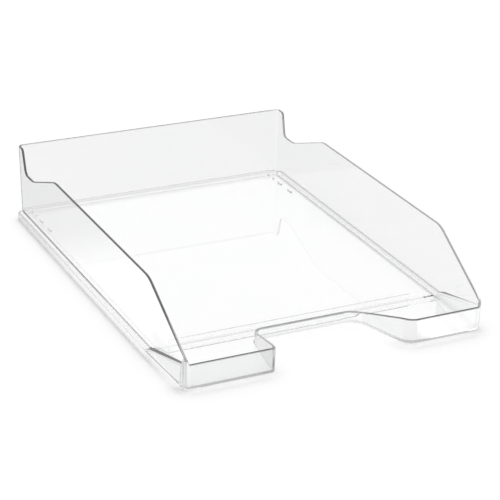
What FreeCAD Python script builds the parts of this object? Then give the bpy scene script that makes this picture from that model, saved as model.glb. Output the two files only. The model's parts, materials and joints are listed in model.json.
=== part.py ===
import FreeCAD, Part
import math
import os
import Sketcher

# Clear desk letter tray with a sloping hand cut-out in the front lip, millimetres.
# X to the right, Y to the back, Z up. Origin: centre of the footprint, on the table plane.
# Sizes along Y are held from the front face of the lip; every form is then moved
# forward (-Y) by half the overall length.

# Driving dimensions: (alias, value)
CELLS = [
    # walls: half widths are across X, "base" and "top" are the lower and upper edges
    ("overall_length", 346.0), ("overall_height", 65.0),
    ("wall_half_base", 122.4), ("wall_half_top", 123.9), ("back_face_base", 344.5),
    ("wall_thick", 2.0), ("corner_radius", 4.0), ("nose_radius", 3.0),
    ("base_level", 2.5), ("floor_top", 4.5), ("apron_top", 4.1), ("apron_depth", 64.7),
    # where the walls are split into pieces
    ("corner_end", 20.0), ("mid_notch", 319.0), ("side_split", 100.0),
    ("rear_corner_split", 112.0),
    # side rim, front to back
    ("nose_level", 25.8), ("rim_level", 63.9), ("rim_front", 66.0), ("rim_back", 258.5),
    ("notch_level", 44.2), ("notch_front", 311.5), ("notch_back", 329.4),
    ("rear_post_top", 335.2), ("rim_round", 24.0), ("notch_round_front", 30.0),
    ("notch_round_back", 5.0), ("post_round", 4.0),
    # foot of the back wall
    ("rear_step_level", 6.7), ("rear_rail_face", 341.4), ("rear_rail_top", 8.0),
    ("rear_recess", 343.4),
    # front lip, and the dip in the rim where it meets the front corners
    ("lip_top", 22.7), ("lip_end", 118.4), ("dip_depth", 3.2), ("dip_flat", 1.3),
    ("dip_width", 4.0), ("dip_rise", 1.5),
    # hand cut-out: distances from the middle to the plan corners of its outer face
    ("cut_front_left", 51.7), ("cut_back_left", 43.2),
    ("cut_back_right", 42.0), ("cut_front_right", 59.0), ("cut_depth", 50.7),
    ("round_front_left", 3.0), ("round_back_left", 7.0),
    ("round_back_right", 14.0), ("round_front_right", 12.0),
    ("cut_wall_top", 12.2), ("slope_front", 4.5), ("slope_end_inset", 1.5),
    # where the front strip is split into pieces
    ("split_left", 58.5), ("split_right", 70.0),
    ("cut_wall_left", 34.0), ("cut_wall_right", 22.0),
    # straight skirt
    ("skirt_half_width", 127.5), ("ledge_level", 6.7), ("ledge_thick", 1.8),
    ("skirt_thick", 1.8), ("skirt_front", 63.5), ("skirt_rear", 341.2),
    ("skirt_edge_round", 0.8),
    # flare that carries the skirt forward and up to the lip
    ("flare_tip", 3.2), ("flare_tip_half", 125.2), ("flare_tip_top", 23.8),
    ("flare_knee", 57.0), ("flare_knee_top", 9.7), ("flare_toe_length", 3.5),
    ("flare_toe_rise", 1.6), ("hollow_end", 5.2), ("hollow_tip_drop", 1.0),
    ("panel_thick", 1.4),
    # foot and rib
    ("foot_front", 60.0), ("foot_lean", 2.6), ("foot_thick", 2.0),
    ("rib_front", 65.0), ("rib_thick", 1.6), ("rib_left", 105.5), ("rib_right", 98.5),
    ("rib_top", 9.0), ("rib_round", 0.5),
    # rows of small lugs on the floor: front face and length of each lug
    ("lug_line", 112.6), ("lug_strip_half", 1.7), ("lug_strip_front", 291.5),
    ("lug_half", 0.9), ("lug_height", 1.1), ("lug_sink", 0.5), ("lug_round", 0.7),
    ("lug_a_front", 294.0), ("lug_a_length", 6.8),
    ("lug_b_front", 313.3), ("lug_b_length", 7.0),
    ("lug_c_front", 327.6), ("lug_c_length", 3.4),
    ("lug_d_front", 336.2), ("lug_d_length", 4.4),
]

# Limits that lie clear of the tray; forms and cutters run out to them.
BEYOND_SIDE = 140
AHEAD, BEHIND = -5, 400
BELOW, ABOVE = -5, 90
FULL_X = (-BEYOND_SIDE, BEYOND_SIDE)
FULL_Y = (AHEAD, BEHIND)
FULL_Z = (BELOW, ABOVE)
INTO_WALL = 8       # skirt forms reach this far in, then the outside form trims them
SPARE_HEIGHT = 0.2  # stock left above the flare for its cutter to remove

SIDES = (("left", -1), ("right", 1))

doc = FreeCAD.newDocument("letter_tray")
sheet = doc.addObject("Spreadsheet::Sheet", "tray")
for row, (alias, value) in enumerate(CELLS, start=1):
    sheet.set("A%d" % row, alias)
    sheet.set("B%d" % row, repr(value))
    sheet.setAlias("B%d" % row, alias)
doc.recompute()


# ---------------------------------------------------------------- dimensions
class Dim:
    """A length that carries both its number and its spreadsheet expression."""

    def __init__(self, text, value):
        self.text = text
        self.value = value

    def __add__(self, other):
        other = as_dim(other)
        return Dim("(%s + %s)" % (self.text, other.text), self.value + other.value)

    def __sub__(self, other):
        other = as_dim(other)
        return Dim("(%s - %s)" % (self.text, other.text), self.value - other.value)

    def __mul__(self, other):
        other = as_dim(other)
        return Dim("(%s * %s)" % (self.text, other.text), self.value * other.value)

    def __truediv__(self, other):
        other = as_dim(other)
        return Dim("(%s / %s)" % (self.text, other.text), self.value / other.value)

    def __rsub__(self, other):
        return as_dim(other) - self

    def __neg__(self):
        return Dim("(0 - %s)" % self.text, -self.value)

    __radd__ = __add__
    __rmul__ = __mul__


def as_dim(length):
    return length if isinstance(length, Dim) else Dim("%.6f" % length, float(length))


def root(dim):
    return Dim("sqrt(%s)" % dim.text, math.sqrt(dim.value))


def drive(obj, prop, dim):
    """Set a property and bind it to the dimension's expression."""
    setattr(obj, prop, dim.value)
    obj.setExpression(prop, dim.text)


class Tray:
    """Holds each spreadsheet cell as a Dim, under its alias."""


tray = Tray()
for alias, value in CELLS:
    setattr(tray, alias, Dim("tray." + alias, value))

half_length = tray.overall_length / 2
wall = tray.wall_thick
base = tray.base_level


# ------------------------------------------------------------ modelling tools
def origin_plane(body, role):
    return next(f for f in body.Origin.OriginFeatures if f.Role == role)


def move_forward(body):
    body.setExpression(".Placement.Base.y", (-half_length).text)
    doc.recompute()


def round_edges(body, name, radius, wanted):
    """Fillet the edges of the body's tip whose end points satisfy wanted(start, end)."""
    before = body.Tip
    names = ["Edge%d" % number
             for number, edge in enumerate(before.Shape.Edges, start=1)
             if wanted(edge.Vertexes[0].Point, edge.Vertexes[-1].Point)]
    if not names:
        raise RuntimeError("no edge for " + name)
    fillet = body.newObject("PartDesign::Fillet", name)
    fillet.Base = (before, names)
    drive(fillet, "Radius", radius)
    body.Tip = fillet
    doc.recompute()


# Vector indices of the two sketch axes and of the pad direction
PLANE_AXES = {"XY": (0, 1, 2), "XZ": (0, 2, 1), "YZ": (1, 2, 0)}


def polygon_body(name, plane, corners, start, length):
    """Pad a closed polygon towards +Z (XY), +Y (XZ) or +X (YZ), beginning at start.

    A corner is (across, up) or (across, up, radius); a radius rounds it along the pad.
    """
    axis_u, axis_v, axis_pad = PLANE_AXES[plane]
    points = [(as_dim(corner[0]), as_dim(corner[1])) for corner in corners]
    body = doc.addObject("PartDesign::Body", name)
    sketch = body.newObject("Sketcher::SketchObject", name + "_sketch")
    sketch.AttachmentSupport = [(origin_plane(body, plane + "_Plane"), "")]
    sketch.MapMode = "FlatFace"
    # the XZ plane faces -Y, so its offset and its pad are turned round
    turned = plane == "XZ"
    offset = -as_dim(start) if turned else as_dim(start)
    sketch.AttachmentOffset = FreeCAD.Placement(
        FreeCAD.Vector(0, 0, offset.value), FreeCAD.Rotation())
    sketch.setExpression(".AttachmentOffset.Base.z", offset.text)

    vectors = [FreeCAD.Vector(u.value, v.value, 0) for u, v in points]
    count = len(points)
    sketch.addGeometry([Part.LineSegment(vectors[i], vectors[(i + 1) % count])
                        for i in range(count)], False)
    for i in range(count):
        sketch.addConstraint(Sketcher.Constraint("Coincident", i, 2, (i + 1) % count, 1))
    bindings = []
    for i, point in enumerate(points):
        for kind, dim in zip(("DistanceX", "DistanceY"), point):
            index = sketch.addConstraint(Sketcher.Constraint(kind, -1, 1, i, 1, dim.value))
            if "tray." in dim.text:
                bindings.append((index, dim.text))
    for index, text in bindings:
        sketch.setExpression("Constraints[%d]" % index, text)

    pad = body.newObject("PartDesign::Pad", name + "_pad")
    pad.Profile = sketch
    drive(pad, "Length", as_dim(length))
    pad.Reversed = turned
    body.Tip = pad
    doc.recompute()

    rounded = [(vector, corner[2]) for vector, corner in zip(vectors, corners)
               if len(corner) == 3]
    for number, (vector, radius) in enumerate(rounded):
        def at_corner(first, last):
            run = last - first
            return (abs(run[axis_pad]) > 1e-3
                    and abs(run[axis_u]) < 1e-4 and abs(run[axis_v]) < 1e-4
                    and abs(first[axis_u] - vector.x) < 1e-3
                    and abs(first[axis_v] - vector.y) < 1e-3)
        round_edges(body, "%s_round%d" % (name, number), radius, at_corner)
    move_forward(body)
    return body


def side_view_body(name, corners):
    """Polygon in (Y, Z), run across the full width."""
    return polygon_body(name, "YZ", corners, -BEYOND_SIDE, 2 * BEYOND_SIDE)


def zone(name, x_span, y_span, z_span=FULL_Z):
    """Box that picks out one region; y is counted from the lip face."""
    box = doc.addObject("Part::Box", name)
    spans = [(as_dim(low), as_dim(high)) for low, high in (x_span, y_span, z_span)]
    for prop, (low, high) in zip(("Length", "Width", "Height"), spans):
        drive(box, prop, high - low)
    corner = (spans[0][0], spans[1][0] - half_length, spans[2][0])
    box.Placement = FreeCAD.Placement(
        FreeCAD.Vector(*[dim.value for dim in corner]), FreeCAD.Rotation())
    for axis, dim in zip("xyz", corner):
        box.setExpression(".Placement.Base." + axis, dim.text)
    return box


def side_span(sign, near, far):
    """X span between two distances from the middle, on one side."""
    return (near, far) if sign > 0 else (-far, -near)


def boolean(kind, name, **inputs):
    result = doc.addObject(kind, name)
    for prop, shapes in inputs.items():
        setattr(result, prop, shapes)
    result.Refine = False
    doc.recompute()
    return result


def cut(name, stock, tool):
    return boolean("Part::Cut", name, Base=stock, Tool=tool)


def common(name, stock, tool):
    return boolean("Part::Common", name, Base=stock, Tool=tool)


PARTS = []


def part(label, obj):
    """Label a finished piece and list it for export."""
    obj.Label = label
    PARTS.append((label, obj))


# ---------------------------------------------------------------------- walls
def wedge_body(name, inset):
    """Drafted block with rounded corners: the wall faces, moved in by inset.

    The block's own Y is up and its Z runs forward, so the back is at negative Z.
    """
    inset = as_dim(inset)
    body = doc.addObject("PartDesign::Body", name)
    block = body.newObject("PartDesign::AdditiveWedge", name + "_block")
    block.AttachmentSupport = [(origin_plane(body, "XZ_Plane"), "")]
    block.MapMode = "FlatFace"
    # in this order the block never turns inside out while it is filled in
    for prop, dim in (
            ("Xmin", inset - tray.wall_half_base), ("Xmax", tray.wall_half_base - inset),
            ("X2min", inset - tray.wall_half_top), ("X2max", tray.wall_half_top - inset),
            ("Ymax", tray.overall_height), ("Ymin", base),
            ("Zmin", inset - tray.back_face_base), ("Zmax", -inset),
            ("Z2min", inset - tray.overall_length), ("Z2max", -inset)):
        drive(block, prop, dim)
    body.Tip = block
    doc.recompute()

    def front_upright(first, last):
        return abs(last.z - first.z) > 20 and min(first.y, last.y) < 60

    def rear_upright(first, last):
        return abs(last.z - first.z) > 20 and min(first.y, last.y) > 200

    round_edges(body, name + "_nose_corners", tray.nose_radius - inset, front_upright)
    round_edges(body, name + "_rear_corners", tray.corner_radius - inset, rear_upright)
    move_forward(body)
    return body


def rim_profile():
    """Side view under the rim: rising front, straight rim, slope to the notch, rear post."""
    slope = (tray.rim_level - tray.nose_level) / tray.rim_front
    return side_view_body("rim_profile", [
        (AHEAD, base),
        (AHEAD, tray.nose_level + slope * AHEAD),
        (tray.rim_front, tray.rim_level, tray.rim_round),
        (tray.rim_back, tray.rim_level, tray.rim_round),
        (tray.notch_front, tray.notch_level, tray.notch_round_front),
        (tray.notch_back, tray.notch_level, tray.notch_round_back),
        (tray.rear_post_top, tray.overall_height, tray.post_round),
        (BEHIND, tray.overall_height),
        (BEHIND, base)])


def rear_walls(walls):
    """Back wall and rear corners, with the foot of the back face set in."""
    foot_cutter = zone("low_back_zone", FULL_X, (tray.rear_rail_face, BEHIND),
                       (BELOW, tray.rear_step_level))
    stepped = cut("walls_back_cut", walls, foot_cutter)
    rear = (tray.mid_notch, BEHIND)
    split = tray.rear_corner_split
    part("back_wall", common("back_wall_solid", stepped,
                             zone("back_zone", (-split, split), rear)))
    for side, sign in SIDES:
        region = zone("rear_corner_zone_" + side, side_span(sign, split, BEYOND_SIDE), rear)
        part("rear_corner_" + side,
             common("rear_corner_%s_solid" % side, stepped, region))


def side_wall(side, sign, walls):
    region = zone("side_zone_" + side, side_span(sign, tray.side_split, BEYOND_SIDE),
                  (tray.corner_end, tray.mid_notch))
    part("side_wall_" + side, common("side_wall_%s_solid" % side, walls, region))


def front_corner(side, sign, rim, shell):
    """Front corner of the walls, its top dipping to the level of the lip."""
    region = zone("front_corner_zone_" + side, side_span(sign, tray.lip_end, BEYOND_SIDE),
                  (AHEAD, tray.corner_end))
    block = common("front_corner_block_" + side, rim, region)
    corner = common("front_corner_raw_" + side, block, shell)
    inner_x = sign * (tray.lip_end - 3)  # clear of the corner's inner end
    outer_x = sign * (tray.lip_end + tray.dip_width)
    dip = polygon_body("corner_dip_" + side, "XZ", [
        (inner_x, tray.lip_top),
        (sign * (tray.lip_end + tray.dip_flat), tray.lip_top),
        (outer_x, tray.nose_level + tray.dip_rise),
        (outer_x, ABOVE),
        (inner_x, ABOVE)], AHEAD, tray.dip_depth - AHEAD)
    part("front_corner_" + side, cut("front_corner_%s_solid" % side, corner, dip))


def rear_base_rail(inside):
    """Rail along the foot of the back wall, stepped on its rear underside."""
    rail = side_view_body("rear_rail_form", [
        (tray.rear_rail_face, base), (tray.rear_rail_face, tray.rear_rail_top),
        (BEHIND, tray.rear_rail_top), (BEHIND, tray.rear_step_level),
        (tray.rear_recess, tray.rear_step_level), (tray.rear_recess, base)])
    part("rear_base_rail", common("rear_base_rail_solid", rail, inside))


# ------------------------------------------------------- lip and hand cut-out
def inner_offset(front, back):
    """How much further from the middle a flank's inner face is, one wall thickness back."""
    slope = (front - back) / tray.cut_depth
    return wall * root(1 + slope * slope) - slope * wall


def cutout_outer():
    """Plan of the cut-out's outer face, front left to front right."""
    return [(-tray.cut_front_left, 0, tray.round_front_left),
            (-tray.cut_back_left, tray.cut_depth, tray.round_back_left),
            (tray.cut_back_right, tray.cut_depth, tray.round_back_right),
            (tray.cut_front_right, 0, tray.round_front_right)]


def cutout_inner():
    """The same plan on the tray side of the cut-out walls."""
    left = inner_offset(tray.cut_front_left, tray.cut_back_left)
    right = inner_offset(tray.cut_front_right, tray.cut_back_right)
    back = tray.cut_depth + wall
    return [(-(tray.cut_front_left + left), wall, tray.round_front_left - wall),
            (-(tray.cut_back_left + left), back, tray.round_back_left + wall),
            (tray.cut_back_right + right, back, tray.round_back_right + wall),
            (tray.cut_front_right + right, wall, tray.round_front_right - wall)]


def front_strip():
    """Lip and cut-out walls as one strip, falling towards the back, then split in five."""
    end = tray.lip_end
    strip = polygon_body(
        "front_strip", "XY",
        [(-end, 0)] + cutout_outer() + [(end, 0), (end, wall)]
        + cutout_inner()[::-1] + [(-end, wall)],
        base, tray.lip_top - base)
    fall = side_view_body("cutout_fall", [
        (tray.slope_front, tray.lip_top),
        (tray.cut_depth - tray.slope_end_inset, tray.cut_wall_top),
        (BEHIND, tray.cut_wall_top), (BEHIND, ABOVE), (tray.slope_front, ABOVE)])
    sloped = cut("front_strip_sloped", strip, fall)
    # piece, its zone, and the zone's left and right limits
    for label, zone_name, left, right in (
            ("front_lip_left", "lip_zone_left", -end, -tray.split_left),
            ("cutout_flank_left", "flank_zone_left", -tray.split_left, -tray.cut_wall_left),
            ("cutout_wall", "cut_wall_zone", -tray.cut_wall_left, tray.cut_wall_right),
            ("cutout_flank_right", "flank_zone_right", tray.cut_wall_right, tray.split_right),
            ("front_lip_right", "lip_zone_right", tray.split_right, end)):
        region = zone(zone_name, (left, right), FULL_Y)
        part(label, common(label + "_solid", sloped, region))


# ---------------------------------------------------------------------- floor
def floor_apron(inside):
    """Front part of the floor, shaped round the cut-out."""
    apron = polygon_body(
        "apron_form", "XY",
        [(-BEYOND_SIDE, wall)] + cutout_inner()
        + [(BEYOND_SIDE, wall), (BEYOND_SIDE, tray.apron_depth),
           (-BEYOND_SIDE, tray.apron_depth)],
        base, tray.apron_top - base)
    part("floor_apron", common("floor_apron_solid", apron, inside))


def strip_spans(sign):
    """X and Y spans of the floor strip that carries a row of lugs."""
    line = sign * tray.lug_line
    return ((line - tray.lug_strip_half, line + tray.lug_strip_half),
            (tray.lug_strip_front, tray.rear_rail_face))


def mark_strip(side, sign):
    """Strip of floor with a row of four lugs standing on it."""
    strip = zone("lug_strip_zone_" + side, *strip_spans(sign), (base, tray.floor_top))
    left = sign * tray.lug_line - tray.lug_half
    right = sign * tray.lug_line + tray.lug_half
    radius = tray.lug_round
    lugs = []
    for letter in "abcd":
        front = getattr(tray, "lug_%s_front" % letter)
        back = front + getattr(tray, "lug_%s_length" % letter)
        lugs.append(polygon_body(
            "lug_%s_%s" % (letter, side), "XY",
            [(left, front, radius), (right, front, radius),
             (right, back, radius), (left, back, radius)],
            tray.floor_top - tray.lug_sink, tray.lug_height + tray.lug_sink))
    part("mark_strip_" + side,
         boolean("Part::MultiFuse", "mark_strip_%s_solid" % side, Shapes=[strip] + lugs))


def floor_panel(inside):
    """Main floor, with slots left for the two lug strips."""
    slab = zone("floor_zone", FULL_X, (tray.apron_depth, tray.rear_rail_face),
                (base, tray.floor_top))
    panel = common("floor_sheet", slab, inside)
    for (side, sign), name in zip(SIDES, ("floor_sheet_a", "floor_panel_solid")):
        panel = cut(name, panel, zone("lug_cut_" + side, *strip_spans(sign)))
    part("floor_panel", panel)


def floor_rib():
    """Low rib across the floor, near the front."""
    part("floor_rib", polygon_body("floor_rib_solid", "XZ", [
        (-tray.rib_left, tray.floor_top), (tray.rib_right, tray.floor_top),
        (tray.rib_right, tray.rib_top, tray.rib_round),
        (-tray.rib_left, tray.rib_top, tray.rib_round)], tray.rib_front, tray.rib_thick))


def front_foot():
    """Leaning strip from the table to the underside, across the width of the walls."""
    front = tray.foot_front
    back = front + tray.foot_thick
    part("front_foot", polygon_body("front_foot_solid", "YZ", [
        (front, 0), (back, 0), (back + tray.foot_lean, base), (front + tray.foot_lean, base)],
        -tray.wall_half_base, tray.wall_half_base * 2))


# --------------------------------------------------------------------- skirts
def side_skirt(side, sign, outside):
    """Ledge standing out from the side wall, with a skirt hanging to the table."""
    half = tray.skirt_half_width
    inner_x = sign * (half - INTO_WALL)
    skirt_x = sign * (half - tray.skirt_thick)
    ledge_under = tray.ledge_level - tray.ledge_thick
    form = polygon_body("skirt_form_" + side, "XZ", [
        (inner_x, ledge_under), (skirt_x, ledge_under), (skirt_x, 0), (sign * half, 0),
        (sign * half, tray.ledge_level, tray.skirt_edge_round),
        (inner_x, tray.ledge_level)], tray.skirt_front, tray.skirt_rear - tray.skirt_front)
    part("side_skirt_" + side, cut("side_skirt_%s_solid" % side, form, outside))


def flare_hollow(side, sign, climb):
    """Hollow between wall and outer panel, open below, roofed by the climbing ledge."""
    half = tray.skirt_half_width
    front = tray.skirt_front
    inner_x = sign * (half - INTO_WALL)
    plan = polygon_body("flare_hollow_plan_" + side, "XY", [
        (inner_x, front),
        (sign * (half - tray.skirt_thick), front),
        (sign * (tray.flare_tip_half - tray.panel_thick), tray.hollow_end),
        (inner_x, tray.hollow_end)], BELOW, ABOVE - BELOW)
    roof = [(y, z - tray.ledge_thick) for y, z in climb]
    tip_y, tip_z = roof.pop()
    tip_z = tip_z - tray.hollow_tip_drop
    past = front + 1  # just behind the plan's rear end
    profile = side_view_body(
        "flare_hollow_side_" + side,
        [(0, BELOW), (past, BELOW), (past, roof[0][1])] + roof + [(tip_y, tip_z), (0, tip_z)])
    return common("flare_hollow_" + side, plan, profile)


def skirt_flare(side, sign, outside):
    """Front run of the skirt: narrows forward while its ledge climbs the wall."""
    front = tray.skirt_front
    wall_x = sign * tray.wall_half_base
    # top of the ledge as (y, z), from the straight skirt forward to the tip
    climb = [(front, tray.ledge_level),
             (front - tray.flare_toe_length, tray.ledge_level + tray.flare_toe_rise),
             (tray.flare_knee, tray.flare_knee_top),
             (tray.flare_tip, tray.flare_tip_top)]
    hood = polygon_body("flare_hood_" + side, "XY", [
        (wall_x, front),
        (sign * tray.skirt_half_width, front),
        (sign * tray.flare_tip_half, tray.flare_tip),
        (wall_x, tray.flare_tip)], 0, tray.flare_tip_top + SPARE_HEIGHT)
    # the underside rises from the table to the base of the lip
    under = side_view_body("flare_under_" + side, [
        (AHEAD, BELOW), (front, BELOW), (front, 0), (tray.flare_tip, base), (AHEAD, base)])
    over = side_view_body("flare_over_" + side, climb + [
        (AHEAD, tray.flare_tip_top), (AHEAD, ABOVE), (front, ABOVE)])
    flare = cut("flare_a_" + side, hood, under)
    flare = cut("flare_b_" + side, flare, over)
    flare = cut("flare_c_" + side, flare, flare_hollow(side, sign, climb))
    part("skirt_flare_" + side, cut("skirt_flare_%s_solid" % side, flare, outside))


# ------------------------------------------------------------ build and export
def build():
    outside = wedge_body("outside_form", 0)
    inside = wedge_body("inside_form", wall)
    shell = cut("wall_shell", outside, inside)
    rim = rim_profile()
    walls = common("walls", shell, rim)
    rear_walls(walls)
    rear_base_rail(inside)
    front_strip()
    floor_apron(inside)
    floor_panel(inside)
    floor_rib()
    front_foot()
    for side, sign in SIDES:
        side_wall(side, sign, walls)
        front_corner(side, sign, rim, shell)
        mark_strip(side, sign)
        side_skirt(side, sign, outside)
        skirt_flare(side, sign, outside)
    doc.recompute()


def export():
    for obj in doc.Objects:
        if "Invalid" in obj.State or "Error" in obj.State:
            raise RuntimeError("%s is %s" % (obj.Label, obj.State))
    for label, obj in PARTS:
        shape = obj.Shape
        if shape.isNull() or not shape.isValid():
            raise RuntimeError(label + " has no valid shape")
        if len(shape.Solids) != 1:
            raise RuntimeError("%s has %d solids" % (label, len(shape.Solids)))
    os.makedirs("parts", exist_ok=True)
    for label, obj in PARTS:
        obj.Shape.Solids[0].exportStep("parts/%s.step" % label)


build()
export()
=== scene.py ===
# A tray of clear plastic, open on top: drafted walls, a cut-out in the middle of the front lip,
# and a skirt along each side that climbs forward as a flare to the corners of the lip.
# x runs to the right, y from the front lip to the back wall, z up from the table.
# The tray is drawn in millimetres with y counted from the lip face; all else is in metres.
import bpy
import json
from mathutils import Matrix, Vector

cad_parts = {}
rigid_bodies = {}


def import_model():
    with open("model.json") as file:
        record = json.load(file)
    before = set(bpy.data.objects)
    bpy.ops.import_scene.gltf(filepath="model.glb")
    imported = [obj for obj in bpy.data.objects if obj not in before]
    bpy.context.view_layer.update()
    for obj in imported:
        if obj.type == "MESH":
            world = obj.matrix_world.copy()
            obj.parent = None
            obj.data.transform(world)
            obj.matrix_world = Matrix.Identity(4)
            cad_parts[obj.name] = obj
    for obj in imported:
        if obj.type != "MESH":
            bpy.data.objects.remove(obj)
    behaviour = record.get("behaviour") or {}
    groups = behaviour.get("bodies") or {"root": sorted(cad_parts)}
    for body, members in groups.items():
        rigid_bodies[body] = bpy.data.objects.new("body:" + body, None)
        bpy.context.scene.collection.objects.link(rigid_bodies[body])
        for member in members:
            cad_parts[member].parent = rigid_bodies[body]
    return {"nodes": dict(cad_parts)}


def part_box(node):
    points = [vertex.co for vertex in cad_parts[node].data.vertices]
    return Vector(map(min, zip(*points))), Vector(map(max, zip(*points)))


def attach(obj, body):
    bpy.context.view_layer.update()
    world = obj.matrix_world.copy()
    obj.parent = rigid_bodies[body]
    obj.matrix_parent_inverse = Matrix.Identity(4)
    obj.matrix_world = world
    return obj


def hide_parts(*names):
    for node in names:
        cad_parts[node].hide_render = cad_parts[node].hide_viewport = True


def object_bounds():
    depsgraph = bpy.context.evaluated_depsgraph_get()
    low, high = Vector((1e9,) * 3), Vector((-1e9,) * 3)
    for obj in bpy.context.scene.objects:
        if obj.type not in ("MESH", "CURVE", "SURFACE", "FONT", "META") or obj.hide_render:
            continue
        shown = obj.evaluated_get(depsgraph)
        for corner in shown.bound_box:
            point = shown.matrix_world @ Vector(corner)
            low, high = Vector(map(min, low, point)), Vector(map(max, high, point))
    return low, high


for old in list(bpy.data.objects):
    bpy.data.objects.remove(old)
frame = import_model()

import json
import math
from collections import namedtuple
from types import SimpleNamespace

import bmesh
import numpy as np
from mathutils import Matrix, Vector
from mathutils.geometry import delaunay_2d_cdt

cad_low, cad_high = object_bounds()
Box = namedtuple("Box", "x0 y0 z0 x1 y1 z1")


def node_box(name):
    """Extent of a node in millimetres, y counted from the lip face."""
    low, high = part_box(name)
    lip_y = cad_low.y * 1000.0
    return Box(low.x * 1000, low.y * 1000 - lip_y, low.z * 1000,
               high.x * 1000, high.y * 1000 - lip_y, high.z * 1000)


# ------------------------------------------------------------- sizes, from the frame
BACK_WALL = node_box("back_wall")
SKIRT = node_box("side_skirt_right")
FLARE = node_box("skirt_flare_right")
FOOT = node_box("front_foot")
FLOOR = node_box("floor_panel")
APRON = node_box("floor_apron")
RIB = node_box("floor_rib")
CUT_WALL = node_box("cutout_wall")

BOTTOM_Z, FLOOR_Z = FLOOR.z0, FLOOR.z1
APRON_Z = APRON.z1               # floor in front of the step
LIP_Z = node_box("front_lip_left").z1
CUT_Z = CUT_WALL.z1
SIDE_Z = node_box("side_wall_right").z1
BACK_Z = BACK_WALL.z1
RAIL_Z = node_box("rear_base_rail").z1
LEDGE_Z = SKIRT.z1
BASE_HALF = FOOT.x1              # half width of the walls at the bottom
TOP_HALF = node_box("rear_corner_right").x1
BACK_Y = BACK_WALL.y1 - (TOP_HALF - BASE_HALF)      # back face at the bottom
DRAFT = (TOP_HALF - BASE_HALF) / (BACK_Z - BOTTOM_Z)
STEP_Y = APRON.y1
STEP_RUN = 1.6                   # length over which the floor rises at the step
CUT_Y = CUT_WALL.y0
WALL = CUT_WALL.y1 - CUT_WALL.y0
BASE_R, FLOOR_R, RIM_R = 1.5, 0.9, 0.9    # roundings: bottom edge, floor corner, rim

SHELL = 1.8                      # thickness of ledge and skirt
SKIRT_HALF = SKIRT.x1
SKIRT_Y0 = FLARE.y1              # the skirt starts where the flare ends
SKIRT_Y1 = SKIRT.y1 - 0.8
SKIRT_END_R = 3.0                # plan rounding of the back end
TIP_Y = FLARE.y0                 # front end of the flare
TIP_HALF = BASE_HALF + 2.8
TIP_R = 2.8
CAVITY_Y, CAVITY_FADE = 5.2, 0.6          # front end of the hollow behind the flare
CAVITY_Z = 4.1                   # underside where the hollow has closed
# ledge height over the flare: y, z
LEDGE_CLIMB = ((TIP_Y, 23.8), (57.0, LEDGE_Z + 3.0),
               (SKIRT_Y0 - 3.5, LEDGE_Z + 1.6), (SKIRT_Y0, LEDGE_Z))

CUT_SLOPE = (4.5, CUT_Y - 1.5)   # y where the wall top starts and ends its change of height
BACK_FOOT = 1.15                 # extra depth inside the foot of the back wall
LUG_X, LUG_HALF, LUG_HEIGHT = 112.6, 0.9, 1.1
LUGS = ((294.0, 6.8), (313.3, 7.0), (327.6, 3.4), (336.2, 3.9))     # front y, length


# ------------------------------------------------------------- side view of the rim
def direction(start, end):
    dx, dy = end[0] - start[0], end[1] - start[1]
    length = math.hypot(dx, dy)
    return dx / length, dy / length


def corner_arc(before, corner, after, radius, steps):
    """Rounding of a corner: points and unit tangents, as (u, v, tangent u, tangent v)."""
    in_u, in_v = direction(before, corner)
    out_u, out_v = direction(corner, after)
    turn = math.atan2(in_u * out_v - in_v * out_u, in_u * out_u + in_v * out_v)
    setback = radius * math.tan(abs(turn) / 2)
    bend = math.copysign(radius, turn)
    start = (corner[0] - in_u * setback, corner[1] - in_v * setback)
    center = (start[0] - in_v * bend, start[1] + in_u * bend)
    arm = (start[0] - center[0], start[1] - center[1])
    arc = []
    for j in range(steps + 1):
        angle = turn * j / steps
        cos, sin = math.cos(angle), math.sin(angle)
        arc.append((center[0] + arm[0] * cos - arm[1] * sin,
                    center[1] + arm[0] * sin + arm[1] * cos,
                    in_u * cos - in_v * sin, in_u * sin + in_v * cos))
    return arc


def rounded_line(corners, steps):
    """Open line with its inner corners rounded: (y, z, normal y, normal z), normals upward."""
    points = [corner[:2] for corner in corners]
    arcs = [(*points[0], *direction(*points[:2]))]
    for k in range(1, len(points) - 1):
        arcs += corner_arc(*points[k - 1:k + 2], corners[k][2], steps)
    arcs.append((*points[-1], *direction(*points[-2:])))
    return [(y, z, -tangent_z, tangent_y) for y, z, tangent_y, tangent_z in arcs]


NOSE_Z = 25.8                    # side rim at the lip face
NOSE_END_Y = 66.0                # there the side rim levels out
NOSE_SLOPE = (SIDE_Z - NOSE_Z) / NOSE_END_Y
SHOULDER_Z = 44.2                # side rim just before the back wall
# y, z, radius
RIM_CORNERS = (
    (-3.0, NOSE_Z - 3 * NOSE_SLOPE, 0), (NOSE_END_Y, SIDE_Z, 24), (258.5, SIDE_Z, 24),
    (311.5, SHOULDER_Z, 30), (329.4, SHOULDER_Z, 5), (335.2, BACK_Z, 4), (360.0, BACK_Z, 0))
RIM = rounded_line(RIM_CORNERS, 12)


def rim_at(y):
    """Height and unit normal (y, z) of the side rim."""
    for a, b in zip(RIM, RIM[1:]):
        if a[0] - 1e-9 <= y <= b[0] + 1e-9:
            t = 0 if b[0] - a[0] < 1e-9 else (y - a[0]) / (b[0] - a[0])
            z, normal_y, normal_z = ((1 - t) * a[q] + t * b[q] for q in (1, 2, 3))
            length = math.hypot(normal_y, normal_z)
            return z, normal_y / length, normal_z / length
    return BACK_Z, 0.0, 1.0


# ------------------------------------------------------------- skirt and flare sections
# A section is the underside height at the wall, 18 points (half width, z) from there round
# to the top, and the top height at the wall.
ARC_MID = 0.2929                 # middle of a quarter arc, as a share of its radius


def wall_half(z):
    return BASE_HALF + DRAFT * (z - BOTTOM_Z)


def bevel(x, z, dx, dz):
    """Three points that round a corner, from its x leg to its z leg."""
    return [(x + dx, z), (x + ARC_MID * dx, z + ARC_MID * dz), (x, z + dz)]


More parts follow.
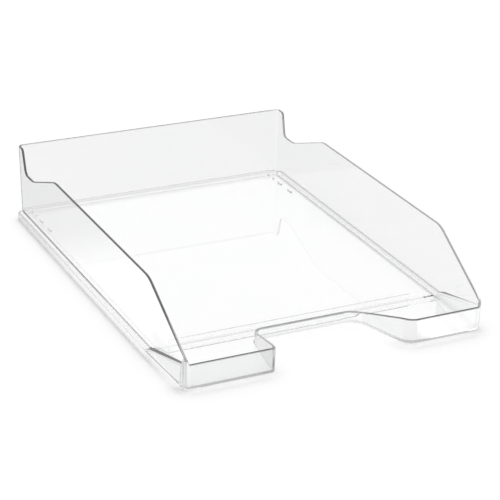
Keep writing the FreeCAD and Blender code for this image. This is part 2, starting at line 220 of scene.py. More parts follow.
def straight_section(y):
    outer = SKIRT_HALF
    bend_y = SKIRT_Y1 - SKIRT_END_R
    if y > bend_y:
        outer -= SKIRT_END_R - math.sqrt(max(0.0, SKIRT_END_R * SKIRT_END_R - (y - bend_y) ** 2))
    under = LEDGE_Z - SHELL
    inner = max(outer - SHELL, wall_half(LEDGE_Z) + 0.15)
    room = (outer - inner) * 0.45
    root_r = min(0.5, (inner - wall_half(under)) * 0.45, under * 0.3)
    low_r = min(0.4, room)
    top_r = min(0.6, room)
    points = (bevel(inner, under, -root_r, -root_r) + bevel(inner, 0.0, low_r, low_r)[::-1]
              + bevel(outer, 0.0, -low_r, low_r) + bevel(outer, LEDGE_Z, -top_r, -top_r)[::-1])
    return under, points + [(inner, LEDGE_Z)] * 6, LEDGE_Z


def flare_section(y):
    """The ledge climbs to the lip corner, carried by a thin panel; hollow from below."""
    part = (SKIRT_Y0 - y) / (SKIRT_Y0 - TIP_Y)       # 0 at the skirt, 1 at the tip
    outer = SKIRT_HALF - (SKIRT_HALF - TIP_HALF) * part
    bend_y = TIP_Y + TIP_R
    if y < bend_y:
        outer -= 0.5 * (TIP_R - math.sqrt(max(0.0, TIP_R * TIP_R - (bend_y - y) ** 2)))
    top_x, low_x, low_z = outer - 0.8 * part, outer - 0.3 * part, BOTTOM_Z * part
    wall_z = float(np.interp(y, *zip(*LEDGE_CLIMB)))
    wall_x = wall_half(wall_z)
    edge_z = wall_z - 1.45 * part                    # the ledge falls outward to its edge
    crease_z = min(LEDGE_Z - 0.3, edge_z - 1.2)
    panel = SHELL - 0.4 * min(1.0, part / 0.2)
    under = edge_z - SHELL
    inner_top = max(top_x - panel, wall_half(under) + 0.2)
    inner_low = max(low_x - panel, BASE_HALF + 0.2)

    closed = min(1.0, max(0.0, (CAVITY_Y + CAVITY_FADE - y) / CAVITY_FADE))
    closed = closed * closed * (3 - 2 * closed)
    under += (CAVITY_Z - under) * closed
    root_x = wall_half(under)
    inner_top += (root_x + 0.2 - inner_top) * closed
    inner_low += (root_x + 0.2 - inner_low) * closed

    root_r = min(0.5, (inner_top - root_x) * 0.45, (under - low_z) * 0.3)
    low_r = min(0.35, (low_x - inner_low) * 0.3)
    edge_r = 0.5
    crease = min(0.45, (edge_z - edge_r - crease_z) * 0.3)
    fall = (wall_z - edge_z) / (top_x - wall_x)
    points = (bevel(inner_top, under, -root_r, -root_r)
              + bevel(inner_low, low_z, low_r, low_r)[::-1] + bevel(low_x, low_z, -low_r, low_r))
    points += [
        (outer - 0.02 * part, crease_z - crease), (outer, crease_z),
        (outer - 0.05 * part, crease_z + crease),
        (0.5 * (outer + top_x), 0.5 * (crease_z + edge_z)), (top_x, edge_z - edge_r),
        (top_x - ARC_MID * edge_r, edge_z - ARC_MID * edge_r + fall * ARC_MID * edge_r),
        (top_x - edge_r, edge_z + fall * edge_r)]
    for share in (0.45, 0.75):
        points.append((top_x - edge_r + (wall_x - top_x + edge_r) * share,
                       edge_z + fall * (edge_r + (top_x - edge_r - wall_x) * share)))
    return under, points, wall_z


# ------------------------------------------------------------- plan of the outer wall face
# Straight runs in order round the tray; a corner has the number of the run that it starts.
LEFT_LIP, LEFT_FLANK, CUT, RIGHT_FLANK, RIGHT_LIP, RIGHT, BACK, LEFT = range(8)
UPRIGHT = (0, 0)
LEAN_LEFT = (-DRAFT, 0)
LEAN_RIGHT = (DRAFT, 0)
# x, y, radius, arc steps, outward lean (x, y) of the corner, lean of the run after it
PLAN = (
    (-BASE_HALF, 0.0, 3, 12, LEAN_LEFT, UPRIGHT),
    (-51.7, 0.0, 3, 12, UPRIGHT, UPRIGHT),
    (-43.2, CUT_Y, 7, 20, UPRIGHT, UPRIGHT),
    (42.0, CUT_Y, 14, 24, UPRIGHT, UPRIGHT),
    (59.0, 0.0, 12, 24, UPRIGHT, UPRIGHT),
    (BASE_HALF, 0.0, 3, 12, LEAN_RIGHT, LEAN_RIGHT),
    (BASE_HALF, BACK_Y, 4, 12, (DRAFT, DRAFT), (0, DRAFT)),
    (-BASE_HALF, BACK_Y, 4, 12, (-DRAFT, DRAFT), LEAN_LEFT),
)


def side_stations():
    """Places along the side walls, at least 0.02 apart."""
    wanted = sorted(set(
        [round(p[0], 4) for p in RIM if 4.6 < p[0] < BACK_Y - 4.4]
        + [y for y, z in LEDGE_CLIMB]
        + list(np.linspace(TIP_Y, SKIRT_Y0, 22).round(4))
        + [CAVITY_Y + CAVITY_FADE, CAVITY_Y + CAVITY_FADE / 2, CAVITY_Y]
        + [STEP_Y - STEP_RUN, STEP_Y]
        + [round(SKIRT_Y1 - SKIRT_END_R + SKIRT_END_R * math.sin(math.pi / 2 * k / 6), 4)
           for k in range(7)]
        + list(np.arange(80, 330, 14.0))))
    kept = wanted[:1]
    for y in wanted[1:]:
        if y - kept[-1] > 0.02:
            kept.append(y)
    return kept


def run_distances(run, start, end):
    """Distances from the start of a straight run at which it is sampled."""
    length = math.hypot(end[0] - start[0], end[1] - start[1])
    if run == RIGHT:
        stops = [y - start[1] for y in side_stations()]
    elif run == LEFT:
        stops = [start[1] - y for y in side_stations()[::-1]]
    elif run in (LEFT_FLANK, RIGHT_FLANK):
        stops = [y - min(start[1], end[1]) for y in CUT_SLOPE]
        stops = [d for d in stops if 0.3 < d < length - 0.3]
        stops += list(np.linspace(0, length, 8)[1:-1])
        stops = sorted(d if run == LEFT_FLANK else length - d for d in stops)
    else:
        stops = np.linspace(0, length, 18 if run == BACK else 9)[1:-1]
    return [d for d in stops if 0.02 < d < length - 0.02]


samples = []


def add_sample(x, y, along, lean, run, corner):
    """Sample of the plan; its normal points out of the tray."""
    if samples and math.hypot(samples[-1].x - x, samples[-1].y - y) < 1e-5:
        return
    samples.append(SimpleNamespace(x=x, y=y, nx=along[1], ny=-along[0], lean=lean,
                                   run=run, corner=corner))


arcs = [corner_arc(PLAN[k - 1], PLAN[k], PLAN[(k + 1) % len(PLAN)], *PLAN[k][2:4])
        for k in range(len(PLAN))]
for run, arc in enumerate(arcs):
    corner_lean, run_lean = PLAN[run][4:]
    for x, y, *along in arc:
        add_sample(x, y, along, corner_lean, run, True)
    start, end = arc[-1], arcs[(run + 1) % len(arcs)][0]
    along = direction(start, end)
    for d in run_distances(run, start, end):
        add_sample(start[0] + along[0] * d, start[1] + along[1] * d, along, run_lean, run, False)
COUNT = len(samples)


# ------------------------------------------------------------- wall sections
def cut_top(y):
    """Wall top around the cut-out, rounded at both ends of its slope."""
    t = max(0.0, min(1.0, (y - CUT_SLOPE[0]) / (CUT_SLOPE[1] - CUT_SLOPE[0])))
    ease = 0.10
    if t < ease:
        rise = t * t / (2 * ease)
    elif t > 1 - ease:
        rise = 1 - ease - (1 - t) * (1 - t) / (2 * ease)
    else:
        rise = t - ease / 2
    rise = rise / (1 - ease)
    return LIP_Z + (CUT_Z - LIP_Z) * max(0.0, min(1.0, rise))


def shape_wall(s):
    """Give a sample its heights, its rim normal and what the wall carries there."""
    s.on_side = not s.corner and s.run in (RIGHT, LEFT)
    s.at_back = s.run == BACK or (s.corner and s.run == LEFT)
    s.skirt = s.on_side and TIP_Y - 1e-6 <= s.y <= SKIRT_Y1 + 1e-6
    s.rim_y, s.rim_z = 0.0, 1.0
    s.inset = s.foot = 0.0       # outer face below the ledge set in, inner face at the foot
    if s.on_side:
        s.top, s.rim_y, s.rim_z = rim_at(s.y)
    elif s.at_back:
        s.top = BACK_Z
        share = abs(s.ny) if s.corner else 1.0
        s.inset, s.foot = WALL * share, BACK_FOOT * share
    elif s.corner and s.run in (LEFT_LIP, RIGHT):
        climb = LIP_Z + max(0.0, (abs(s.x) - (BASE_HALF - 2.7))) * 3.0
        s.top = min(rim_at(max(s.y, 0))[0], climb)
    else:
        s.top = cut_top(s.y - s.ny * WALL / 2)
    rise = min(1.0, max(0.0, (s.y - (STEP_Y - STEP_RUN)) / STEP_RUN))
    s.floor = APRON_Z + (FLOOR_Z - APRON_Z) * rise


def wall_point(s, z, depth):
    """Point of the wall at height z, depth inside its outer face."""
    return (s.x + s.lean[0] * (z - BOTTOM_Z) - s.nx * depth,
            s.y + s.lean[1] * (z - BOTTOM_Z) - s.ny * depth, z)


# points of a wall section, from the underside up the outside, over the rim, down to the floor
PROFILE = (["base"] * 4 + ["skirt under", "skirt top", "step", "fillet"] + ["rim"] * 8
           + ["rail", "rail foot"] + ["floor"] * 4)
SKIRT_ROW = PROFILE.index("skirt under")
STEP_ROW = PROFILE.index("step")
RIM_ROW = PROFILE.index("rim")
RIM_TOP_ROW = RIM_ROW + 3
QUARTER = [(1 - math.sin(a), 1 - math.cos(a)) for a in (0, math.pi / 6, math.pi / 3, math.pi / 2)]


def wall_column(s):
    under, top = LEDGE_Z - SHELL, LEDGE_Z
    if s.skirt:
        under, path, top = (straight_section if s.y >= SKIRT_Y0 else flare_section)(s.y)
        side = 1 if s.run == RIGHT else -1
        s.path = [(side * x, s.y, z) for x, z in path]
    column = [wall_point(s, BOTTOM_Z + BASE_R * b, s.inset + BASE_R * a) for a, b in QUARTER]
    column += [wall_point(s, under, s.inset), wall_point(s, top, s.inset),
               wall_point(s, top, 0.0), wall_point(s, top + 0.8, 0.0)]
    rim = [(RIM_R * a, RIM_R * b) for a, b in QUARTER]
    for drop, depth in rim + [(drop, WALL - depth) for drop, depth in rim[::-1]]:
        x, y, z = wall_point(s, s.top - drop * s.rim_z, depth)
        column.append((x, y - drop * s.rim_y, z))
    foot = WALL + s.foot
    column += [wall_point(s, RAIL_Z, WALL), wall_point(s, RAIL_Z, foot)]
    column += [wall_point(s, s.floor + FLOOR_R * b, foot + FLOOR_R * a)
               for a, b in QUARTER[::-1]]
    return column


for s in samples:
    shape_wall(s)
columns = [wall_column(s) for s in samples]

# ------------------------------------------------------------- mesh building
bm = bmesh.new()
flat_layer = bm.faces.layers.int.new("flat")
# face attributes: painted shade on rims (edge) and on other edges (line), and the see-through
# share (clear)
tone_layers = [bm.faces.layers.float.new(name) for name in ("edge", "line", "clear")]
vertices = {}


def vert(point):
    key = tuple(round(c, 5) for c in point)
    if key not in vertices:
        x, y, z = point
        vertices[key] = bm.verts.new(Vector((x / 1000.0, y / 1000.0 + cad_low.y, z / 1000.0)))
    return vertices[key]


def face(corners, flat, edge=0.0, line=0.0, clear=0.0):
    """Face without its repeated corners; nothing if it collapses."""
    loop = [v for k, v in enumerate(corners) if v is not corners[k + 1 - len(corners)]]
    if len(set(loop)) < max(3, len(loop)):
        return
    new = bm.faces.new(loop)
    new[flat_layer] = int(flat)
    for layer, value in zip(tone_layers, (edge, line, clear)):
        new[layer] = value
    new.smooth = True


# "edge": how much of the painted shade (an emission tone standing in for light caught in the
# plastic) rims show: outer rounding, top, inner rounding
EDGE_LEFT = (0.35, 0.55, 0.35)
EDGE_RIGHT = (0.10, 0.22, 0.16)
EDGE_BACK = (0.15, 0.35, 0.15)
EDGE_LIP = (0.45, 0.75, 0.45)
EDGE_LIP_RIGHT = (0.60, 0.95, 0.60)
EDGE_CUT = (0.55, 0.90, 0.55)
EDGE_FLANK = (0.08, 0.20, 0.08)
# "line": the same painted shade (emission tone) on other edges, seen from outside
LINE_BASE, LINE_CUT = 0.85, 0.55                  # bottom edge of the lips, of the cut-out
LINE_WALL, LINE_BAND, LINE_CREASE = 0.8, 0.8, 0.6   # skirt: at the wall, flare ledge, crease
LINE_FOOT = 0.16                                  # foot of the back wall
# "clear": share of light that goes straight through the foot and the floor step
CLEAR = 0.85


# painted shade: share of the emission tone that each rim face shows
def rim_painted_shade(s, j):
    if not PROFILE[j] == PROFILE[j + 1] == "rim":
        return 0.0
    if s.on_side:
        tones = EDGE_LEFT if s.run == LEFT else EDGE_RIGHT
    elif s.at_back:
        tones = EDGE_BACK
    elif s.x > 55:
        tones = EDGE_LIP_RIGHT
    elif not s.corner and s.run == LEFT_FLANK:
        tones = EDGE_FLANK
    else:
        tones = EDGE_CUT if s.run in (CUT, RIGHT_FLANK) else EDGE_LIP
    return tones[(j >= RIM_TOP_ROW) + (j > RIM_TOP_ROW)]


def line_painted_shade(s, both_skirt, j):
    if j == STEP_ROW and both_skirt and s.y > SKIRT_Y0 - 3:
        return LINE_WALL
    if PROFILE[j] in ("rail", "rail foot") and s.at_back:
        return LINE_FOOT
    plain = (s.corner, s.run) in ((True, LEFT_LIP), (False, LEFT_FLANK))
    if PROFILE[j] == PROFILE[j + 1] == "base" and s.run <= RIGHT_LIP and not plain:
        return LINE_BASE if not s.corner and s.run in (LEFT_LIP, RIGHT_LIP) else LINE_CUT
    return 0.0


def skirt_loop(s, column):
    return [column[SKIRT_ROW]] + [vert(p) for p in s.path] + [column[SKIRT_ROW + 1]]


FLAT_FLARE = (0, 3, 6, 9, 12, 13, 16, 17, 18)     # flat strips of the sections
FLAT_SKIRT = (0, 3, 6, 9, 12, 15, 18)


def skirt_strips(s, after, a, b):
    loop_a, loop_b = skirt_loop(s, a), skirt_loop(after, b)
    flats = FLAT_FLARE if min(s.y, after.y) < SKIRT_Y0 - 0.01 else FLAT_SKIRT
    fade = min(1.0, max(0.0, (SKIRT_Y0 - s.y) / 4.0))
    for j in range(len(loop_a) - 1):
        # painted shade lines on the flare crease and the ledge band
        line = LINE_CREASE if j in (10, 11) else LINE_BAND if j >= 16 else 0.0
        face([loop_a[j], loop_b[j], loop_b[j + 1], loop_a[j + 1]], j in flats, line=line * fade)


grid = [[vert(p) for p in column] for column in columns]
neighbours = [(i, (i + 1) % COUNT) for i in range(COUNT)]
for i, i_after in neighbours:
    s, after = samples[i], samples[i_after]
    a, b = grid[i], grid[i_after]
    straight = abs(s.nx * after.ny - s.ny * after.nx) < 1e-6
    both_skirt = s.skirt and after.skirt
    for j in range(len(PROFILE) - 1):
        if j == SKIRT_ROW and both_skirt:
            continue
        flat = straight and (PROFILE[j] != PROFILE[j + 1] or j == RIM_TOP_ROW)
        face([a[j], b[j], b[j + 1], a[j + 1]], flat, rim_painted_shade(s, j),
             line_painted_shade(s, both_skirt, j))
    if both_skirt:
        skirt_strips(s, after, a, b)
for i, i_after in neighbours:                     # end faces of the skirts
    if samples[i].skirt and not samples[i_after].skirt:
        face(skirt_loop(samples[i], grid[i])[::-1], True)
    elif samples[i_after].skirt and not samples[i].skirt:
        face(skirt_loop(samples[i_after], grid[i_after]), True)


def inside(point, polygon):
    odd = False
    for a, b in zip(polygon, polygon[1:] + polygon[:1]):
        if (a[1] > point[1]) != (b[1] > point[1]):
            if point[0] < (b[0] - a[0]) * (point[1] - a[1]) / (b[1] - a[1]) + a[0]:
                odd = not odd
    return odd


def patch(outer, holes):
    """Level face with holes; each loop is a list of (x, y, vertex)."""
    points, edges, owners = [], [], []
    for loop in [outer] + holes:
        base = len(points)
        for k, (x, y, vertex) in enumerate(loop):
            points.append(Vector((x, y)))
            owners.append(vertex)
            edges.append((base + k, base + (k + 1) % len(loop)))
    spots, _, triangles, sources, _, _ = delaunay_2d_cdt(points, edges, [], 0, 1e-6)
    for triangle in triangles:
        middle = [sum(spots[t][q] for t in triangle) / len(triangle) for q in (0, 1)]
        if inside(middle, outer) and not any(inside(middle, hole) for hole in holes):
            face([owners[sources[t][0]] for t in triangle], True)


def rounded_rect(x0, x1, y0, y1, radius, steps):
    out = []
    for x, y, first in ((x1 - radius, y0 + radius, -90), (x1 - radius, y1 - radius, 0),
                        (x0 + radius, y1 - radius, 90), (x0 + radius, y0 + radius, 180)):
        for j in range(steps + 1):
            angle = math.radians(first + 90 * j / steps)
            out.append((x + radius * math.cos(angle), y + radius * math.sin(angle)))
    return out


def island(outline, z0, z1, radius, shift_y=0.0, clear=0.0):
    """Block that rises or hangs from a level face; returns its footprint for patch()."""
    sign = 1 if z1 > z0 else -1
    xs, ys = zip(*outline)
    half_x, half_y = (max(xs) - min(xs)) / 2, (max(ys) - min(ys)) / 2
    mid_x, mid_y = (min(xs) + max(xs)) / 2, (min(ys) + max(ys)) / 2

    def ring(inset, z):
        t = (z - z0) / (z1 - z0)
        scale_x, scale_y = (half_x - inset) / half_x, (half_y - inset) / half_y
        return [vert((mid_x + (x - mid_x) * scale_x,
                      mid_y + (y - mid_y) * scale_y + shift_y * t, z)) for x, y in outline]

    rings = [ring(0, z0), ring(0, z1 - sign * radius),
             ring(ARC_MID * radius, z1 - sign * ARC_MID * radius), ring(radius, z1)]
    for q, (low, high) in enumerate(zip(rings, rings[1:])):
        for k in range(len(outline)):
            after = (k + 1) % len(outline)
            face([low[k], low[after], high[after], high[k]], q == 0, clear=clear)
    face(rings[-1], True)
    return [(x, y, v) for (x, y), v in zip(outline, rings[0])]


# ------------------------------------------------------------- floor and underside
def wall_loop(ids, row):
    return [(*columns[i][row][:2], grid[i][row]) for i in ids]


def side_ids(run):
    """Samples of a side wall in front of the floor step, and behind it."""
    ids = [i for i, s in enumerate(samples) if s.on_side and s.run == run]
    return ([i for i in ids if samples[i].y < STEP_Y - 1.5],
            [i for i in ids if samples[i].y > STEP_Y - 0.1])


right_front, right_back = side_ids(RIGHT)
left_front, left_back = side_ids(LEFT)
right_a, right_b = max(right_front), min(right_back)
left_a, left_b = min(left_front), max(left_back)
patch(wall_loop([*range(left_a, COUNT), *range(right_a + 1)], -1), [])
step_ids = [*range(right_a, right_b + 1), *range(left_b, left_a + 1)]
face([grid[i][-1] for i in step_ids], True, clear=CLEAR)

holes = [island(rounded_rect(RIB.x0, RIB.x1, RIB.y0, RIB.y1, radius=0.5, steps=3),
                FLOOR_Z, RIB.z1, radius=0.45)]
for side in (-1, 1):
    for y, length in LUGS:
        lug = rounded_rect(side * LUG_X - LUG_HALF, side * LUG_X + LUG_HALF, y, y + length,
                           radius=0.7, steps=4)
        holes.append(island(lug, FLOOR_Z, FLOOR_Z + LUG_HEIGHT, radius=0.3))
patch(wall_loop(range(right_b, left_b + 1), -1), holes)

FOOT_ROOT = 2.0                  # depth of the front foot where it leaves the underside
foot_outline = rounded_rect(-BASE_HALF + BASE_R + 0.5, BASE_HALF - BASE_R - 0.5,
                            FOOT.y1 - FOOT_ROOT, FOOT.y1, radius=0.5, steps=3)
foot = island(foot_outline, BOTTOM_Z, 0.0, radius=0.4,
              shift_y=FOOT.y0 + FOOT_ROOT - FOOT.y1, clear=CLEAR)
patch(wall_loop(range(COUNT), 0), [foot])

bmesh.ops.dissolve_degenerate(bm, dist=1e-7, edges=list(bm.edges))
bmesh.ops.recalc_face_normals(bm, faces=list(bm.faces))
mesh = bpy.data.meshes.new("tray_shell")
bm.to_mesh(mesh)


def corner_normals():
    """Flat faces stay flat, the roundings turn smoothly between them."""
    flat_at, round_at = {}, {}
    for v in bm.verts:
        flat_at[v] = [f.normal.copy() for f in v.link_faces if f[flat_layer]]
        total = Vector((0, 0, 0))
        for f in v.link_faces:
            if not f[flat_layer]:
                total += f.normal * f.calc_area() ** 0.5
        round_at[v] = total.normalized() if total.length > 0 else None
    normals = []
    for f in bm.faces:
        for v in (loop.vert for loop in f.loops):
            normal = f.normal.copy()
            if not f[flat_layer]:
                near = [q for q in flat_at[v] if q.dot(f.normal) > 0.5]
                if near:
                    normal = max(near, key=lambda q: q.dot(f.normal))
                else:
                    normal = round_at[v] or normal
            normals.append(tuple(normal))
    return normals


mesh.normals_split_custom_set(corner_normals())
bm.free()
tray = bpy.data.objects.new("tray_shell", mesh)
bpy.context.scene.collection.objects.link(tray)


# ------------------------------------------------------------- node helpers
class Net:
    """Node tree of a material or world; the methods add nodes and return their output."""

    def __init__(self, owner):
        owner.use_nodes = True
        self.tree = owner.node_tree
        self.tree.nodes.clear()

    def add(self, kind, inputs=None, **props):
        node = self.tree.nodes.new("ShaderNode" + kind)
        for name, value in props.items():
            setattr(node, name, value)
        for name, value in (inputs or {}).items():
            if isinstance(value, bpy.types.NodeSocket):
                self.tree.links.new(value, node.inputs[name])
            else:
                node.inputs[name].default_value = value
        return node

    def math(self, operation, a, b=0.0, c=0.0):
        return self.add("Math", {0: a, 1: b, 2: c}, operation=operation).outputs[0]

    def mul(self, first, *others):
        for other in others:
            first = self.math("MULTIPLY", first, other)
        return first

    def ramp(self, value, start, end, low=0.0, high=1.0):
        """low where value is at start, high where it is at end, held beyond."""
        return self.add("MapRange", {
            "Value": value, "From Min": start, "From Max": end, "To Min": low, "To Max": high,
        }, interpolation_type="SMOOTHSTEP", clamp=True).outputs["Result"]

    def ramp_abs(self, value, start, end):
        return self.ramp(self.math("ABSOLUTE", value), start, end)

    def blend(self, mask, outside, inside):
        """outside where mask is 0, inside where it is 1."""
        return self.math("MULTIPLY_ADD", self.math("SUBTRACT", inside, outside), mask, outside)

    def xyz(self, vector):
        return self.add("SeparateXYZ", {0: vector}).outputs

    def noise(self, vector, scale, detail, roughness):
        return self.add("TexNoise", {
            "Vector": vector, "Scale": scale, "Detail": detail, "Roughness": roughness,
        }, noise_dimensions="3D").outputs["Fac"]

    def scaled(self, vector, scale):
        return self.add("Mapping", {"Vector": vector, "Scale": scale}).outputs["Vector"]

    def attribute(self, name):
        return self.add("Attribute", attribute_name=name).outputs["Fac"]

    def grey(self, value):
        return self.add("CombineColor", {0: value, 1: value, 2: value}).outputs[0]

    def mix_shader(self, factor, a, b):
        return self.add("MixShader", {0: factor, 1: a, 2: b}).outputs[0]


# ------------------------------------------------------------- clear plastic
def polished_resin(net):
    coords = net.add("TexCoord").outputs["Object"]
    # slightly uneven tint
    uneven = net.noise(coords, scale=14.0, detail=3.0, roughness=0.5)
    tint = net.add("Mix", {
        "Factor": net.ramp(uneven, 0.3, 0.7),
        "A": (0.974, 0.978, 0.980, 1),
        "B": (0.984, 0.986, 0.984, 1),
    }, data_type="RGBA").outputs["Result"]
    # nearly clear polish, with fine scuffs along y and faint haze
    scuff = net.noise(net.scaled(coords, (900.0, 40.0, 900.0)), scale=1.0, detail=2.0,
                      roughness=0.6)
    haze = net.noise(coords, scale=30.0, detail=4.0, roughness=0.6)
    rough = net.math("ADD", net.ramp(scuff, 0.62, 0.80, low=0.0, high=0.05),
                     net.ramp(haze, 0.45, 0.80, low=0.002, high=0.025))
    # very shallow waviness from moulding
    flow = net.noise(net.scaled(coords, (60.0, 25.0, 60.0)), scale=1.0, detail=2.0,
                     roughness=0.4)
    bump = net.add("Bump", {"Strength": 0.12, "Distance": 0.00012, "Height": flow})
    return net.add("BsdfPrincipled", {
        "IOR": 1.59, "Transmission Weight": 1.0, "Base Color": tint, "Roughness": rough,
        "Normal": bump.outputs["Normal"]}).outputs[0]


def light_let_through(net, x, y, z, normal):
    """Share of the light on its way to the table that passes; set by place and height, it paints
    the contact shadows on the table.
    """
    # upright faces pass less light low down, most of all at the front: painted contact shadow
    upright = net.blend(net.ramp(y, -0.155, -0.165),
                        outside=net.ramp(z, 0.0010, 0.0050, low=0.30, high=0.997),
                        inside=net.ramp(z, 0.0045, 0.0065, low=0.05, high=0.997))
    level = net.ramp_abs(net.xyz(normal)[2], 0.4, 0.8)
    # faint painted shadow from a band across the floor, between the side walls
    band = net.mul(net.ramp_abs(x, 0.1185, 0.1165), net.ramp(y, -0.117, -0.115),
                   net.ramp(y, -0.103, -0.105))
    upright = net.blend(band, outside=upright, inside=0.96)
    return net.grey(net.blend(level, outside=upright, inside=0.998))


def painted_edge_shade(net, x, y, z, line):
    """Tone of the painted shade, an emission standing in for light caught in the thickness, and
    the mask of its front corners and flares.
    """
    # painted shade: dark in general, paler near the base
    tone = net.ramp(z, 0.0040, 0.0058, low=0.55, high=0.11)
    lip = net.mul(net.ramp(y, -0.160, -0.167), net.ramp_abs(x, 0.1195, 0.1175))
    tone = net.blend(lip, outside=tone, inside=net.ramp(z, 0.0046, 0.0070, low=0.50, high=0.11))
    # paler painted band low between the side walls, behind the lip
    base = net.mul(net.ramp_abs(x, 0.1215, 0.1195), net.ramp(z, 0.0064, 0.0050),
                   )
    base = net.mul(base, net.mul(net.ramp(y, -0.152, -0.142), net.ramp(y, 0.02, -0.02)))
    tone = net.blend(base, outside=tone, inside=0.84)
    # painted shade on the left flank of the cut-out
    flank = net.mul(net.ramp(x, -0.0570, -0.0550), net.ramp(x, -0.0405, -0.0420))
    flank = net.mul(flank, net.mul(net.ramp(y, -0.1705, -0.1680), net.ramp(y, -0.1240, -0.1270)))
    tone = net.blend(flank, outside=tone, inside=0.45)
    # painted shade on the upper part of the right wall
    right = net.mul(net.ramp(x, 0.1150, 0.1180), net.ramp(z, 0.0225, 0.0245))
    tone = net.blend(right, outside=tone, inside=0.40)
    # painted shade on the front corners below the rim; the right one leaves out its bottom
    nose = net.mul(net.ramp_abs(x, 0.1175, 0.1190), net.ramp(y, -0.1655, -0.1675),
                   net.ramp(z, 0.0222, 0.0212),
                   net.math("MAXIMUM", net.ramp(x, 0.05, -0.05), net.ramp(z, 0.0035, 0.0055)))
    tone = net.blend(nose, outside=tone, inside=net.ramp(x, -0.05, 0.05, low=0.88, high=0.40))
    # painted shade on the flares, except where a line is drawn; the right one is paler under its
    # climbing ledge
    flare = net.mul(net.ramp_abs(x, 0.1212, 0.1222), net.ramp(y, -0.108, -0.114))
    flare = net.mul(flare, net.mul(net.ramp(line, 0.20, 0.05), net.ramp(z, 0.0235, 0.0225)))
    climb = 0.2614               # forward rise of the ledge that heights are taken against
    under = net.math("MULTIPLY_ADD", y, climb, z)
    pale = net.ramp(under, -0.0245, -0.0225, low=0.93, high=0.62)
    flare_tone = net.blend(net.ramp(x, -0.05, 0.05), outside=0.72, inside=pale)
    tone = net.blend(flare, outside=tone, inside=flare_tone)
    return tone, net.math("MAXIMUM", nose, flare)


def clear_plastic():
    material = bpy.data.materials.new("clear_plastic")
    net = Net(material)
    light = net.add("LightPath").outputs
    geometry = net.add("NewGeometry").outputs
    x, y, z = net.xyz(geometry["Position"])
    resin = polished_resin(net)
    through = net.add("BsdfTransparent", {
        "Color": light_let_through(net, x, y, z, geometry["True Normal"])}).outputs[0]
    soft = net.math("MAXIMUM", light["Is Shadow Ray"], light["Is Diffuse Ray"])
    body = net.mix_shader(soft, resin, through)
    # foot and floor step let sight straight through
    see_through = net.add("BsdfTransparent", {"Color": (0.985, 0.985, 0.985, 1)}).outputs[0]
    clear = net.mul(net.attribute("clear"), net.math("SUBTRACT", 1.0, soft))
    body = net.mix_shader(clear, body, see_through)
    # painted shade (an emission glow) takes over after a few reflections, sooner at nose and
    # flare, and on marked edges
    line = net.attribute("line")
    tone, early = painted_edge_shade(net, x, y, z, line)
    painted_shade_glow = net.add("Emission", {"Strength": tone}).outputs[0]
    trapped = net.math("GREATER_THAN", light["Glossy Depth"],
                       net.blend(early, outside=2.5, inside=0.5))
    outward = net.math("SUBTRACT", 1.0, geometry["Backfacing"])
    marked = net.math("MAXIMUM", net.attribute("edge"), net.mul(line, outward))
    marked = net.mul(marked, net.math("SUBTRACT", 1.0, soft))
    shown = net.mix_shader(net.math("MAXIMUM", trapped, marked), body, painted_shade_glow)
    net.add("OutputMaterial", {"Surface": shown})
    return material


tray.data.materials.append(clear_plastic())
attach(tray, "root")
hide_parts(*sorted(frame["nodes"]))
for node in frame["nodes"].values():          # the hidden collision solids carry the same plastic
    node.data.materials.clear()
    node.data.materials.append(tray.data.materials[0])

# ------------------------------------------------------------- table
TABLE_HALF = 12.0
TABLE_GAP = 0.00005              # the table lies this far under the tray
table_mesh = bpy.data.meshes.new("table_top")
bm = bmesh.new()
bm.faces.new([bm.verts.new((x * TABLE_HALF, y * TABLE_HALF, 0.0))
              for x, y in ((-1, -1), (1, -1), (1, 1), (-1, 1))])
bm.to_mesh(table_mesh)
bm.free()
table = bpy.data.objects.new("table_top", table_mesh)
bpy.context.scene.collection.objects.link(table)
table.location.z = cad_low.z - TABLE_GAP


def table_material():
    """Pale paper; where the plastic mirrors it, it shows a painted reflection brightness instead
    of its lit colour.
    """
    material = bpy.data.materials.new("table_paper")
    net = Net(material)
    geometry = net.add("NewGeometry").outputs
    x, y, _ = net.xyz(geometry["Position"])
    # painted reflection for rays that travel to the back: the left falls off backward, the rest is
    # dimmer
    left = net.ramp(y, 0.02, 0.14, low=1.15, high=0.74)
    backward = net.blend(net.ramp(x, -0.120, -0.07), outside=left, inside=0.60)
    # painted reflection for rays that travel to the front: painted highlight at the right front,
    # painted shade under the front of the tray
    painted_highlight = net.mul(net.ramp(x, 0.072, 0.090), net.ramp(y, -0.150, -0.165))
    pocket = net.mul(net.ramp(y, -0.172, -0.160), net.ramp(y, -0.100, -0.115))
    forward = net.blend(painted_highlight, outside=net.blend(pocket, outside=0.20, inside=1.0), inside=2.0)
    to_front = net.ramp(net.xyz(geometry["Incoming"])[1], -0.15, 0.15)
    seen = net.blend(to_front, outside=backward, inside=forward)
    painted_reflection = net.add("Emission", {"Strength": seen}).outputs[0]
    fleck = net.noise(geometry["Position"], scale=300.0, detail=2.0, roughness=0.5)
    paper = net.add("BsdfDiffuse", {
        "Color": net.grey(net.ramp(fleck, 0.3, 0.7, low=0.895, high=0.905))}).outputs[0]
    depth = net.add("LightPath").outputs["Glossy Depth"]
    shown = net.mix_shader(net.math("MINIMUM", depth, 1.0), paper, painted_reflection)
    net.add("OutputMaterial", {"Surface": shown})
    return material


table_mesh.materials.append(table_material())


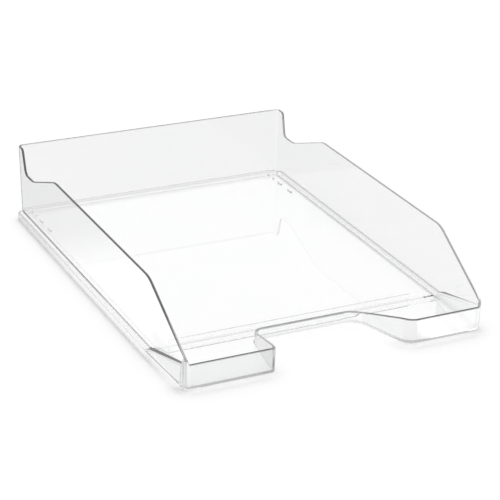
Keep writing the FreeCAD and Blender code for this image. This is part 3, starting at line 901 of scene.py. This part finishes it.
# ------------------------------------------------------------- room
def studio_world():
    ROOM = 1.125                 # strength of the room's light; the camera itself sees 1.0
    world = bpy.data.worlds.new("studio")
    net = Net(world)
    light = net.add("LightPath").outputs
    _, y, z = net.xyz(net.add("NewGeometry").outputs["Incoming"])
    height = net.mul(z, -1.0)
    # seen in or through the plastic, it is dim near the horizon on the viewer's side
    dim = net.mul(net.ramp(y, -0.1, 0.4), net.ramp(height, 0.45, 0.10))
    room = net.blend(dim, outside=ROOM, inside=0.10)
    depth = net.math("ADD", light["Glossy Depth"], light["Transmission Depth"])
    strength = net.blend(net.math("MINIMUM", depth, 1.0), outside=ROOM, inside=room)
    strength = net.blend(light["Is Camera Ray"], outside=strength, inside=1.0)
    background = net.add("Background", {"Strength": strength, "Color": (1, 1, 1, 1)})
    net.add("OutputWorld", {"Surface": background.outputs[0]})
    return world


scene = bpy.context.scene
scene.world = studio_world()


# ------------------------------------------------------------- camera
def add_camera(location, azimuth, elevation, roll):
    """Camera in front of the tray and to its left; angles in degrees."""
    data = bpy.data.cameras.new("camera")
    camera = bpy.data.objects.new("camera", data)
    scene.collection.objects.link(camera)
    azimuth, elevation, roll = (math.radians(a) for a in (azimuth, elevation, roll))
    backward = Vector((math.sin(azimuth) * math.cos(elevation),
                       -math.cos(azimuth) * math.cos(elevation), math.sin(elevation)))
    right = (-backward).cross(Vector((0, 0, 1))).normalized()
    up = right.cross(-backward)
    axis_x = right * math.cos(roll) + up * math.sin(roll)
    axis_y = -right * math.sin(roll) + up * math.cos(roll)
    rows = list(zip(axis_x, axis_y, backward, Vector(location)))
    camera.matrix_world = Matrix(rows + [(0, 0, 0, 1)])
    data.sensor_width = 36.0
    data.lens = 130.63
    data.shift_x = -0.00972
    data.shift_y = 0.00071
    data.clip_start, data.clip_end = 0.05, 100.0
    return camera


scene.camera = add_camera(location=(-0.592927, -1.195327, 0.619776),
                          azimuth=-27.012, elevation=24.25, roll=1.945)
scene.view_settings.view_transform = "Standard"
scene.view_settings.look = "None"
scene.cycles.max_bounces = 24
scene.cycles.transmission_bounces = 24
scene.cycles.glossy_bounces = 12
scene.cycles.transparent_max_bounces = 48
